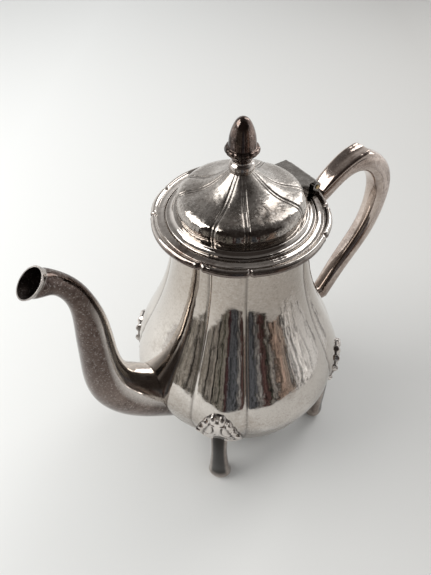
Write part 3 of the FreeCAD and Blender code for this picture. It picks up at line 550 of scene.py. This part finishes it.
bm = bmesh.new()
for ring, count in STRAINER_RINGS:
    for i in range(count):
        turn = FULL_TURN * i / count
        spot = (STRAINER + Vector((0.0, ring * math.cos(turn), ring * math.sin(turn)))) * MM
        bmesh.ops.create_cone(bm, cap_ends=True, segments=20, radius1=HOLE_RADIUS * MM,
                              radius2=HOLE_RADIUS * MM, depth=HOLE_LENGTH * MM,
                              matrix=Matrix.Translation(spot) @ Matrix.Rotation(QUARTER, 4, "Y"))
drill = placed("drill", bm)
pierce = body_piece.modifiers.new("pierce", "BOOLEAN")
pierce.operation = "DIFFERENCE"
pierce.solver = "EXACT"
pierce.object = drill
bpy.context.view_layer.update()
pierced = bpy.data.meshes.new_from_object(body_piece.evaluated_get(bpy.context.evaluated_depsgraph_get()))
body_piece.modifiers.clear()
body_piece.data = pierced
bpy.data.objects.remove(drill)

# Base plate with its raised middle.
shown("base_silver", turned(BASE, 128, 0.6), "pot", ["base_plate"], "silver_bright", body_look)

# Rim: lobed bead round a stepped flange, nicked at every crease, with painted shade below its crest.
BEAD_CREASE = 0.984
BEAD_START = 41.0
BEAD_RADIUS = 44.0
BEAD_PAINTED_SHADE_BELOW = 180.7
NICK_WIDTH = 0.75
NICK_DEPTH = 0.75
SWELL_WIDTH = 0.7
SWELL_HEIGHT = 0.22
SWELL_PLACE = 2.0


def rim_form(radius, height, angle):
    bead = limited((radius - BEAD_START) / 3.0)
    away = from_crease(angle) * BEAD_RADIUS
    nick = hump(away, NICK_WIDTH)
    radius *= 1 + bead * (panel(angle, BEAD_CREASE) - 1.0)
    radius -= bead * (NICK_DEPTH * nick - SWELL_HEIGHT * hump(away - SWELL_PLACE, SWELL_WIDTH))
    # Painted shade: the bead's colour darkens below its crest.
    shade = 0.85 * bead * limited((BEAD_PAINTED_SHADE_BELOW - height) / 1.2)
    return radius, height, max(bead * nick, shade)


shown("rim_silver", pressed(turned(RIM, 960, 0.35), rim_form), "pot", ["rim_collar"], "silver_bright",
      rim_look)

# Spout: swan neck with a rolled lip round the mouth, bored through and cut on the slant.
SPOUT_SIDES = 72
OUTSIDE_STEPS = 180
BORE_STEPS = 70
SPOUT_STEPS = OUTSIDE_STEPS + BORE_STEPS + 2
spout_curve = spline(SPOUT)
slant = Vector((-math.sin(MOUTH_LEAN), 0, math.cos(MOUTH_LEAN)))


def spout_point(t, angle, wall):
    """Point of the spout, a wall's thickness inside its outer face."""
    x, z, radius, lean = spout_curve(t)
    lean = math.radians(lean)

    def at(r):
        across = r * math.cos(angle)
        return Vector((x + across * math.cos(lean), r * math.sin(angle), z + across * math.sin(lean)))
    below_mouth = (MOUTH - at(radius)).dot(slant)
    wall *= 1 - 0.45 * hump(below_mouth, 3.0)
    lip = 0.4 * hump(below_mouth - 0.4, 0.8) - 0.3 * hump(below_mouth - 2.2, 0.8)
    return at(radius - wall + lip)


def spout_spans(wall):
    """Where each line along the spout comes out of the body and where it meets the mouth."""
    spans = []
    for line in range(SPOUT_SIDES):
        angle = line_angle(line, SPOUT_SIDES)
        spans.append((turns_positive(lambda t: outside_body(spout_point(t, angle, wall)), 0.0, 0.35),
                      turns_positive(lambda t: (spout_point(t, angle, wall) - MOUTH).dot(slant), 0.8, 1.0)))
    return spans


outside_spans = spout_spans(0.0)
bore_spans = spout_spans(SPOUT_WALL)


def spout_place(share, angle, line):
    """Up the outside, over the lip, down the bore and back to the first ring."""
    step = round(share * SPOUT_STEPS)
    if OUTSIDE_STEPS < step < SPOUT_STEPS:
        wall = SPOUT_WALL
        start, end = bore_spans[line]
        part = 1 - (step - OUTSIDE_STEPS - 1) / BORE_STEPS
    else:
        wall = 0.0
        start, end = outside_spans[line]
        part = step / OUTSIDE_STEPS if step < SPOUT_STEPS else 0.0
    return spout_point(start + (end - start) * part, angle, wall)


def spout_sheen_and_lip(share, angle):
    """How far a point is turned to the pot, where a painted highlight lightens the colour; the lip is lighter
    too.
    """
    step = round(share * SPOUT_STEPS)
    if abs(step - OUTSIDE_STEPS) < 3:
        return 0.5
    part = step / OUTSIDE_STEPS
    return limited((math.cos(angle) - 0.05) / 0.4) * limited((0.80 - part) / 0.15)


bm = bmesh.new()
rings = drawn(bm, SPOUT_SIDES, SPOUT_STEPS, spout_place, ("painted_sheen_and_lip", spout_sheen_and_lip))
inside = {vert for ring in rings[OUTSIDE_STEPS + 1:-1] for vert in ring}
for face in bm.faces:
    face.material_index = int(all(vert in inside for vert in face.verts))
bmesh.ops.remove_doubles(bm, verts=rings[0] + rings[-1], dist=SAME_PLACE)
bmesh.ops.recalc_face_normals(bm, faces=bm.faces)
shown("spout_silver", bm, "pot", ["spout"], "silver_worn", spout_look, bore_look)

# Handle loop, mitred onto the stub that meets the belly.
BAR_SIDES = 64
BAR_POWER = 2.7


def bar(curve, t, angle):
    x, z, turn, width, depth = curve(t)
    turn = math.radians(turn)
    up, side = squarish(angle, width, depth, BAR_POWER)
    return x - up * math.sin(turn), side, z + up * math.cos(turn)


def mitred_bar(stations, steps, reach, keep):
    """Bar from the body to the mitre. Within reach it comes out of the body; keep picks the mitre's side."""
    curve = spline(stations)
    starts = []
    for line in range(BAR_SIDES):
        angle = line_angle(line, BAR_SIDES)
        starts.append(turns_positive(lambda t: outside_body(bar(curve, t, angle)), 0.0, reach))
    bm = bmesh.new()
    drawn(bm, BAR_SIDES, steps,
          lambda share, angle, line: bar(curve, starts[line] + (1 - starts[line]) * share, angle))
    plane = Vector((math.cos(MITRE_TURN), 0, math.sin(MITRE_TURN))) * keep
    bmesh.ops.bisect_plane(bm, geom=everything(bm), plane_co=MITRE * MM, plane_no=plane, clear_outer=True)
    return closed_ends(bm)


shown("handle_silver", mitred_bar(HANDLE, 150, 0.2, 1), "pot", ["handle"], "silver_worn", handle_look)
shown("stub_silver", mitred_bar(STUB, 40, 0.6, -1), "pot", ["handle_stub"], "silver_worn", handle_look)

# Thumb leaf: hollowed along the top between two ridges, turned up and rounded at the tip.
LEAF_START = 0.06
LEAF_POWER = 2.6
TIP_START = 0.9
TURN_UP_START = 0.82
RIDGE_HEIGHT = 0.5
GUTTER_DEPTH = 0.9
leaf_curve = spline(LEAF)


def leaf_point(share, angle, line):
    full = min(share / TIP_START, 1.0)
    tip = math.sqrt(max(1 - max((share - TIP_START) / 0.1, 0.0) ** 2, 0.02))
    x, z, turn, width, depth = leaf_curve(LEAF_START + (1 - LEAF_START) * share)
    turn = math.radians(turn)
    up, side = squarish(angle, width * tip, depth * (0.6 + 0.4 * tip), LEAF_POWER)
    if up > 0:
        up += (RIDGE_HEIGHT * hump(abs(side) - width * 0.8, 1.1) - GUTTER_DEPTH * hump(side, 2.6)) * full
    up += 0.7 * max(share - TURN_UP_START, 0.0) / (1 - TURN_UP_START)
    return x - up * math.sin(turn), side, z + up * math.cos(turn)


bm = bmesh.new()
drawn(bm, 72, 90, leaf_point)
shown("leaf_silver", closed_ends(bm), "pot", ["thumb_leaf"], "silver_worn", handle_look)

# Legs: waisted stems ending in spoon feet, with a painted dark reflection down the front that fades out at
# the toe.
LEG_POWER = 2.25
leg_curve = spline(LEG)


def leg_point(share, angle, line):
    z, out, width, depth = leg_curve(share * 0.999)
    deep, side = squarish(angle, width, depth, LEG_POWER)
    if deep > 0:
        deep *= 1.0 + 0.06 * math.cos(side / width * math.pi)
    return out + deep, side, max(z, 0.0)


# Painted reflection: dark down the middle of the front, lighter at its edges and toe, a little dark on the
# back.
def leg_painted_reflection(share, angle):
    side = squarish(angle, 1.0, 1.0, LEG_POWER)[1]
    front = limited((0.82 - abs(side)) / 0.18) if math.cos(angle) > 0 else 0.2
    return front * limited((0.93 - share) / 0.12)


bm = bmesh.new()
drawn(bm, 48, 60, leg_point, ("tarnish_and_shade", leg_painted_reflection))
four_round(closed_ends(bm), "leg_silver", "leg", leg_look)

# Knee shells: lobed fan with scrolls, raised over the narrow panel. Across and height, in millimetres.
FAN_TOP = 86.5
FAN_WIDEST = 50.5
FAN_FOOT = 42.5
FAN_HALF = 14.9
FAN_FOOT_HALF = 5.6
SHEET_HALF = 15.6
SHEET_MIDDLE = 64.6
SHEET_RISE = 23.0
SUNK = -0.5
KNEE_THICKNESS = 0.4


def bow(points, steps):
    """Points along a smooth curve through a few marks."""
    curve = spline(points)
    return [tuple(curve(i / steps)) for i in range(steps + 1)]


def near_curve(across, z, line):
    return min((across - p[0]) ** 2 + (z - p[1]) ** 2 for p in line) ** 0.5


SCROLLS = [bow([(2.8, 77.0), (2.3, 72.6), (3.8, 68.2), (7.0, 66.4), (9.5, 69.2), (7.4, 72.0)], 40),
           bow([(13.4, 63.0), (9.6, 63.6), (7.0, 60.2), (8.4, 56.4), (11.6, 56.6)], 34),
           bow([(0.0, 52.0), (4.0, 53.0), (9.0, 52.6), (13.6, 53.4)], 24)]
# Lobes: across, height, lean.
LOBES = []
for turn in (math.radians(10.5 + 21.5 * i) for i in range(4)):
    LOBES.append((12.6 * math.sin(turn) ** 0.9, 57.6 + 25.6 * math.cos(turn) ** 0.95, turn * 0.6))
LOBE_HALF_LENGTH = 3.5
LOBE_HALF_WIDTH = 2.05
LOBE_HEIGHT = 1.9


def fan_edge(across, z):
    """Distance inside the fan's outline; negative outside."""
    side = abs(across)
    if z > FAN_WIDEST:
        top = FAN_TOP - 36.0 * (1 - math.sqrt(max(1 - (side / FAN_HALF) ** 2, 0.0))) ** 0.92
        lean = FAN_HALF * math.sqrt(max(1 - ((z - FAN_WIDEST) / 36.2) ** 2, 0.0)) - side
        return min(top - z, lean)
    flare = (max(z, FAN_FOOT) - FAN_FOOT) / (FAN_WIDEST - FAN_FOOT)
    return min(FAN_FOOT_HALF + (FAN_HALF - FAN_FOOT_HALF) * flare ** 1.6 - side, z - FAN_FOOT)


def relief(across, z):
    """Height of the ornament over the body, and how deep in its hollows, where tarnish darkens it, the point
    lies.
    """
    side = abs(across)
    inside = fan_edge(across, z)
    plate = 1.1 * limited((inside + 0.4) / 0.8) + SUNK
    groove = max(hump(near_curve(side, z, line), 0.55) for line in SCROLLS)
    ridge = max(hump(near_curve(side, z, line) - 1.2, 0.7) for line in SCROLLS)
    border = hump(inside - 5.0, 0.7) if z > 56 else 0.0
    high = 0.9 * limited(inside / 7.0) ** 0.6 + 0.4 * ridge - 0.75 * groove - 0.5 * border
    tarnish_and_shade = max(groove, 0.85 * border, hump(inside, 0.9))
    for spot, height, turn in LOBES:
        along = (side - spot) * math.sin(turn) + (z - height) * math.cos(turn)
        aside = (side - spot) * math.cos(turn) - (z - height) * math.sin(turn)
        egg = 1 - (along / LOBE_HALF_LENGTH) ** 2 - (aside / LOBE_HALF_WIDTH) ** 2
        if egg > 0:
            high = max(high, 0.2 + LOBE_HEIGHT * math.sqrt(egg))
            tarnish_and_shade *= 1 - math.sqrt(egg)
    return plate + (high if inside > -0.2 else 0.0), tarnish_and_shade if inside > -0.3 else 0.0


bm = bmesh.new()
layer = bm.verts.layers.float.new("tarnish_and_shade")
bmesh.ops.create_grid(bm, x_segments=104, y_segments=150, size=1.0)
under_body = set()
for vert in bm.verts:
    across = SHEET_HALF * vert.co.x
    z = SHEET_MIDDLE + SHEET_RISE * vert.co.y
    lift, vert[layer] = relief(across, z)
    angle = across / body_radius(z)
    radius = body_radius(z) * panel(QUARTER / 2 + angle, BODY_CREASE) + lift
    vert.co = Vector((radius * math.cos(angle), radius * math.sin(angle), z)) * MM
    if lift < SUNK + 0.05:
        under_body.add(vert)
loose = [v for v in bm.verts if v in under_body and all(e.other_vert(v) in under_body for e in v.link_edges)]
bmesh.ops.delete(bm, geom=loose, context="VERTS")
bmesh.ops.recalc_face_normals(bm, faces=bm.faces)
bmesh.ops.solidify(bm, geom=bm.faces[:], thickness=KNEE_THICKNESS * MM)
four_round(bm, "knee_silver", "knee_shell", knee_look)

# Lid: panelled dome with a fine double line at each crease.
DOUBLE_LINE_HALF = 0.85
DOUBLE_LINE_WIDTH = 0.42
DOUBLE_LINE_DEPTH = 0.34
CREASE_DROP = 18.0
dome_curve = spline(DOME)
hollow_curve = spline(HOLLOW)
outer = [(r, z) for z, r in (dome_curve(i / 110) for i in range(111))]
stud_hole = [(STUD_HOLE, DOME[-1][0]), (STUD_HOLE, HOLLOW[-1][0])]
inner = [(r, z) for z, r in (hollow_curve(i / 40) for i in range(40, -1, -1))]


def dome_form(radius, height, angle):
    """The creases draw in the steep shoulder and press down the flat top; the underside follows the panels.
    """
    lobe = panel(angle, DOME_CREASE)
    if min(math.hypot(radius - r, height - z) for r, z in inner) < DOME_WALL / 4:
        return radius * lobe, height, 0.0
    if radius < DOME[-1][1] - 0.5:
        return radius, height, 0.0
    line = hump(from_crease(angle) * radius - DOUBLE_LINE_HALF, DOUBLE_LINE_WIDTH) * min(1.0, radius / 14.0)
    flat = limited((radius - 9.0) / 8.0) * limited((31.2 - radius) / 2.0)
    lower = flat * ((1 - lobe) * CREASE_DROP + DOUBLE_LINE_DEPTH * line)
    keep = (lobe - DOUBLE_LINE_DEPTH * line / radius) * (1 - flat) + flat * (1 - 0.3 * (1 - lobe))
    return radius * keep, height - lower, line


shown("dome_silver", pressed(turned(outer + stud_hole + inner, 600), dome_form), "lid", ["lid_dome"],
      "silver_bright", lid_look)
shown("bezel_silver", turned(BEZEL, 192, 0.4), "lid", ["lid_bezel"], "silver_bright", bezel_look)

# Finial: turned collar, and an acorn in a cup with rows of scales.
CUP_BOTTOM = 210.6
CUP_TOP = 216.0
SCALE_ROW = 1.35
SCALE_HEIGHT = 0.34


def cup_form(radius, height, angle):
    if not CUP_BOTTOM < height < CUP_TOP or radius < 4.0:
        return radius, height, 0.0
    row = math.floor((height - CUP_BOTTOM) / SCALE_ROW)
    scale = abs(math.cos(angle * 7 + (QUARTER if row % 2 else 0.0))) ** 0.7
    return radius + SCALE_HEIGHT * (scale - 0.6), height, 1.0 - scale


shown("collar_silver", turned(COLLAR, 96, 0.4), "lid", ["finial_collar"], "silver_worn", collar_look)
shown("acorn_silver", pressed(turned(ACORN, 168, 0.7, 4), cup_form), "lid", ["finial_acorn"], "silver_worn",
      finial_look)

# Solids that show as they are.
for node, look in (("hinge_bracket", hinge_look), ("hinge_leaf", hinge_look), ("hinge_pin", brass_look),
                   ("finial_stud", brass_look), ("finial_washer", brass_look), ("finial_nut", brass_look)):
    dress(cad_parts[node], look)

# Floor: a pale table, painted lighter on the window's side and shaded away from it, that ends a little way
# off in what the metal mirrors. Distances in metres.
VIEWER = (-0.54, -0.84, 0.0)
VIEWER_RIGHT = (0.84, -0.54, 0.0)
AWAY_FROM_WINDOW = (0.80, -0.60, 0.0)
TABLE_LIT = (0.82, 0.83, 0.82)
TABLE_SHADED = (0.545, 0.54, 0.525)
TABLE_GRAIN = (0.45, 0.45, 0.45)
TABLE_FRONT = (0.31, 0.32)
TABLE_RIGHT = (0.255, 0.265)
TABLE_ROUND = (0.36, 0.38)

bm = bmesh.new()
bmesh.ops.create_grid(bm, x_segments=2, y_segments=2, size=4.0)
floor = placed("floor", bm)
floor_look, tree = new_look("floor_table")
table = put(tree, "ShaderNodeBsdfPrincipled", Roughness=0.6)
table.inputs["Specular IOR Level"].default_value = 0.2
place = put(tree, "ShaderNodeTexCoord").outputs["Object"]
# Painted light: the table's colour goes from lit near the window to shaded away from it.
light_side = spread(tree, dot(tree, place, AWAY_FROM_WINDOW), -0.30, 0.30, 1.0, 0.0)
table_painted_light = mixed(tree, light_side, TABLE_SHADED, TABLE_LIT)
grain = times(tree, noise(tree, place, 900.0, 3.0, 0.6), 0.05)
tree.links.new(mixed(tree, grain, table_painted_light, TABLE_GRAIN), table.inputs["Base Color"])
away = put(tree, "ShaderNodeVectorMath", operation="LENGTH")
tree.links.new(place, away.inputs[0])
past_edge = calc(tree, "MAXIMUM", spread(tree, dot(tree, place, VIEWER), *TABLE_FRONT, 0.0, 1.0),
                 spread(tree, away.outputs["Value"], *TABLE_ROUND, 0.0, 1.0))
past_edge = calc(tree, "MAXIMUM", past_edge,
                 spread(tree, dot(tree, place, VIEWER_RIGHT), *TABLE_RIGHT, 0.0, 1.0))
rays = put(tree, "ShaderNodeLightPath")
ends = put(tree, "ShaderNodeMixShader")
tree.links.new(times(tree, past_edge, rays.outputs["Is Glossy Ray"]), ends.inputs[0])
tree.links.new(table.outputs[0], ends.inputs[1])
tree.links.new(put(tree, "ShaderNodeBsdfTransparent").outputs[0], ends.inputs[2])
tree.links.new(ends.outputs[0], put(tree, "ShaderNodeOutputMaterial").inputs[0])
dress(floor, floor_look)

# What the metal mirrors: pale walls and a grey ceiling, and a dim room of uprights on the viewer's side.
# Uprights from the viewer's left to right, walls from below to above.
UPRIGHTS = [(0.00, (1.20, 1.20, 1.18)), (0.10, (0.30, 0.28, 0.25)), (0.13, (0.52, 0.49, 0.44)),
            (0.20, (0.10, 0.09, 0.08)), (0.215, (0.44, 0.41, 0.37)), (0.29, (0.05, 0.045, 0.04)),
            (0.305, (0.33, 0.31, 0.27)), (0.36, (0.06, 0.065, 0.045)), (0.375, (0.36, 0.34, 0.30)),
            (0.42, (0.10, 0.055, 0.055)), (0.455, (0.16, 0.17, 0.19)), (0.555, (0.025, 0.022, 0.022)),
            (0.57, (0.45, 0.44, 0.43)), (0.60, (0.13, 0.075, 0.07)), (0.66, (0.06, 0.065, 0.05)),
            (0.68, (0.62, 0.58, 0.54)), (0.71, (0.012, 0.011, 0.011)), (0.735, (0.60, 0.45, 0.37)),
            (0.80, (0.70, 0.58, 0.50)), (0.84, (0.012, 0.011, 0.011)), (0.86, (1.30, 1.29, 1.27))]
ROOM_HALF = 1.35
WALLS = [(0.30, (0.90, 0.90, 0.89)), (0.45, (1.50, 1.50, 1.48)), (0.66, (1.05, 1.05, 1.05)),
         (0.82, (0.42, 0.41, 0.40)), (0.93, (0.20, 0.19, 0.185)), (1.0, (0.15, 0.143, 0.138))]
PATCHES = [(0.0, (0.35, 0.35, 0.35)), (0.40, (1.0, 1.0, 1.0)), (0.58, (0.55, 0.55, 0.55)),
           (0.66, (1.5, 1.45, 1.4))]
ROOM_TOP = (0.050, 0.042, 0.038)
SQUIGGLE = (0.10, 0.095, 0.09)
SKY = [(0.0, (0.60, 0.60, 0.60)), (1.0, (1.0, 1.0, 1.0))]
BACKDROP = (1.05, 1.05, 1.04)

world = bpy.data.worlds.new("studio")
bpy.context.scene.world = world
world.use_nodes = True
tree = world.node_tree
tree.nodes.clear()
way = put(tree, "ShaderNodeTexCoord").outputs["Generated"]
rise = dot(tree, way, (0, 0, 1))
front = dot(tree, way, VIEWER)
turn = calc(tree, "ARCTAN2", dot(tree, way, VIEWER_RIGHT), front)


def room_noise(stretch, scale, detail, rough):
    """Noise over the room's turn and rise."""
    spot = put(tree, "ShaderNodeCombineXYZ")
    tree.links.new(turn, spot.inputs[0])
    tree.links.new(times(tree, rise, stretch), spot.inputs[1])
    return noise(tree, spot.outputs[0], scale, detail, rough)


walls = ramp(tree, spread(tree, rise, -1.0, 1.0, 0.0, 1.0), WALLS)
jagged = spread(tree, turn, -0.5, 0.6, 0.16, 0.75)
ragged = times(tree, calc(tree, "SUBTRACT", room_noise(4.0, 6.0, 5.0, 0.75), 0.5), jagged)
across_room = spread(tree, calc(tree, "ADD", turn, ragged), -ROOM_HALF, ROOM_HALF, 0.0, 1.0)
room = ramp(tree, across_room, UPRIGHTS, "CONSTANT")
streaks = spread(tree, room_noise(0.5, 30.0, 3.0, 0.7), 0.36, 0.62, 0.25, 1.25)
patches = ramp(tree, room_noise(1.6, 9.0, 2.0, 0.5), PATCHES, "CONSTANT")
shaded = put(tree, "ShaderNodeVectorMath", operation="SCALE")
tree.links.new(room, shaded.inputs[0])
tree.links.new(times(tree, streaks, patches), shaded.inputs["Scale"])
room = mixed(tree, spread(tree, rise, 0.10, 0.34, 0.0, 1.0), shaded.outputs[0], ROOM_TOP)
mirrored = mixed(tree, spread(tree, front, 0.05, 0.34, 0.0, 1.0), walls, room)
wander = calc(tree, "ABSOLUTE", calc(tree, "SUBTRACT", room_noise(2.6, 3.6, 3.0, 0.6), 0.5))
right_side = spread(tree, turn, 0.62, 0.85, 0.0, 1.0)
low_side = spread(tree, rise, 0.25, 0.40, 1.0, 0.0)
squiggles = times(tree, spread(tree, wander, 0.006, 0.02, 0.9, 0.0), times(tree, right_side, low_side))
mirrored = mixed(tree, squiggles, mirrored, SQUIGGLE)
sky = ramp(tree, spread(tree, rise, -0.1, 1.0, 0.0, 1.0), SKY)
rays = put(tree, "ShaderNodeLightPath")
lit = mixed(tree, rays.outputs["Is Glossy Ray"], sky, mirrored)
glow = put(tree, "ShaderNodeBackground", Strength=0.75)
tree.links.new(mixed(tree, rays.outputs["Is Camera Ray"], lit, BACKDROP), glow.inputs["Color"])
tree.links.new(glow.outputs[0], put(tree, "ShaderNodeOutputWorld").inputs[0])

# Lights, turned to the pot's belly.
BELLY = Vector((0, 0, 0.08))


def soft_light(name, spot, width, height, power, colour):
    data = bpy.data.lights.new(name, "AREA")
    data.shape = "RECTANGLE"
    data.size = width
    data.size_y = height
    data.energy = power
    data.color = colour
    lamp = bpy.data.objects.new(name, data)
    bpy.context.scene.collection.objects.link(lamp)
    lamp.location = spot
    lamp.rotation_euler = (BELLY - Vector(spot)).to_track_quat("-Z", "Y").to_euler()


soft_light("window", (-0.75, 0.45, 0.85), 0.9, 0.7, 9.0, (1.0, 0.99, 0.97))
soft_light("side", (0.75, 0.15, 0.75), 0.35, 0.8, 3.0, (1.0, 0.99, 0.98))

# Camera where the photograph was taken, fitted to a pot of another height and scaled to this one.
AZIMUTH = math.radians(-32.8)
ELEVATION = math.radians(46.9)
ROLL = math.radians(-1.1)
FITTED_SCALE = 230 / 250.9
CAMERA_BACK, CAMERA_RIGHT, CAMERA_UP = 360.6, -15.4, 51.2
AIM = Vector((0, 0, 60))
SENSOR = 36.0
FOCAL_SHARE = 478.0 / 575.0

back = Vector((math.sin(AZIMUTH) * math.cos(ELEVATION), -math.cos(AZIMUTH) * math.cos(ELEVATION),
               math.sin(ELEVATION)))
right = Vector((math.cos(AZIMUTH), math.sin(AZIMUTH), 0))
up = back.cross(right)
right, up = right * math.cos(ROLL) + up * math.sin(ROLL), up * math.cos(ROLL) - right * math.sin(ROLL)
spot = (back * CAMERA_BACK + right * CAMERA_RIGHT + up * CAMERA_UP + AIM) * FITTED_SCALE * MM
camera_data = bpy.data.cameras.new("camera")
camera_data.sensor_width = SENSOR
camera_data.lens = FOCAL_SHARE * SENSOR
camera_data.clip_start = 0.01
camera = bpy.data.objects.new("camera", camera_data)
bpy.context.scene.collection.objects.link(camera)
camera.matrix_world = Matrix.Translation(spot) @ Matrix((right, up, back)).transposed().to_4x4()
bpy.context.scene.camera = camera
bpy.context.scene.view_settings.view_transform = "Standard"
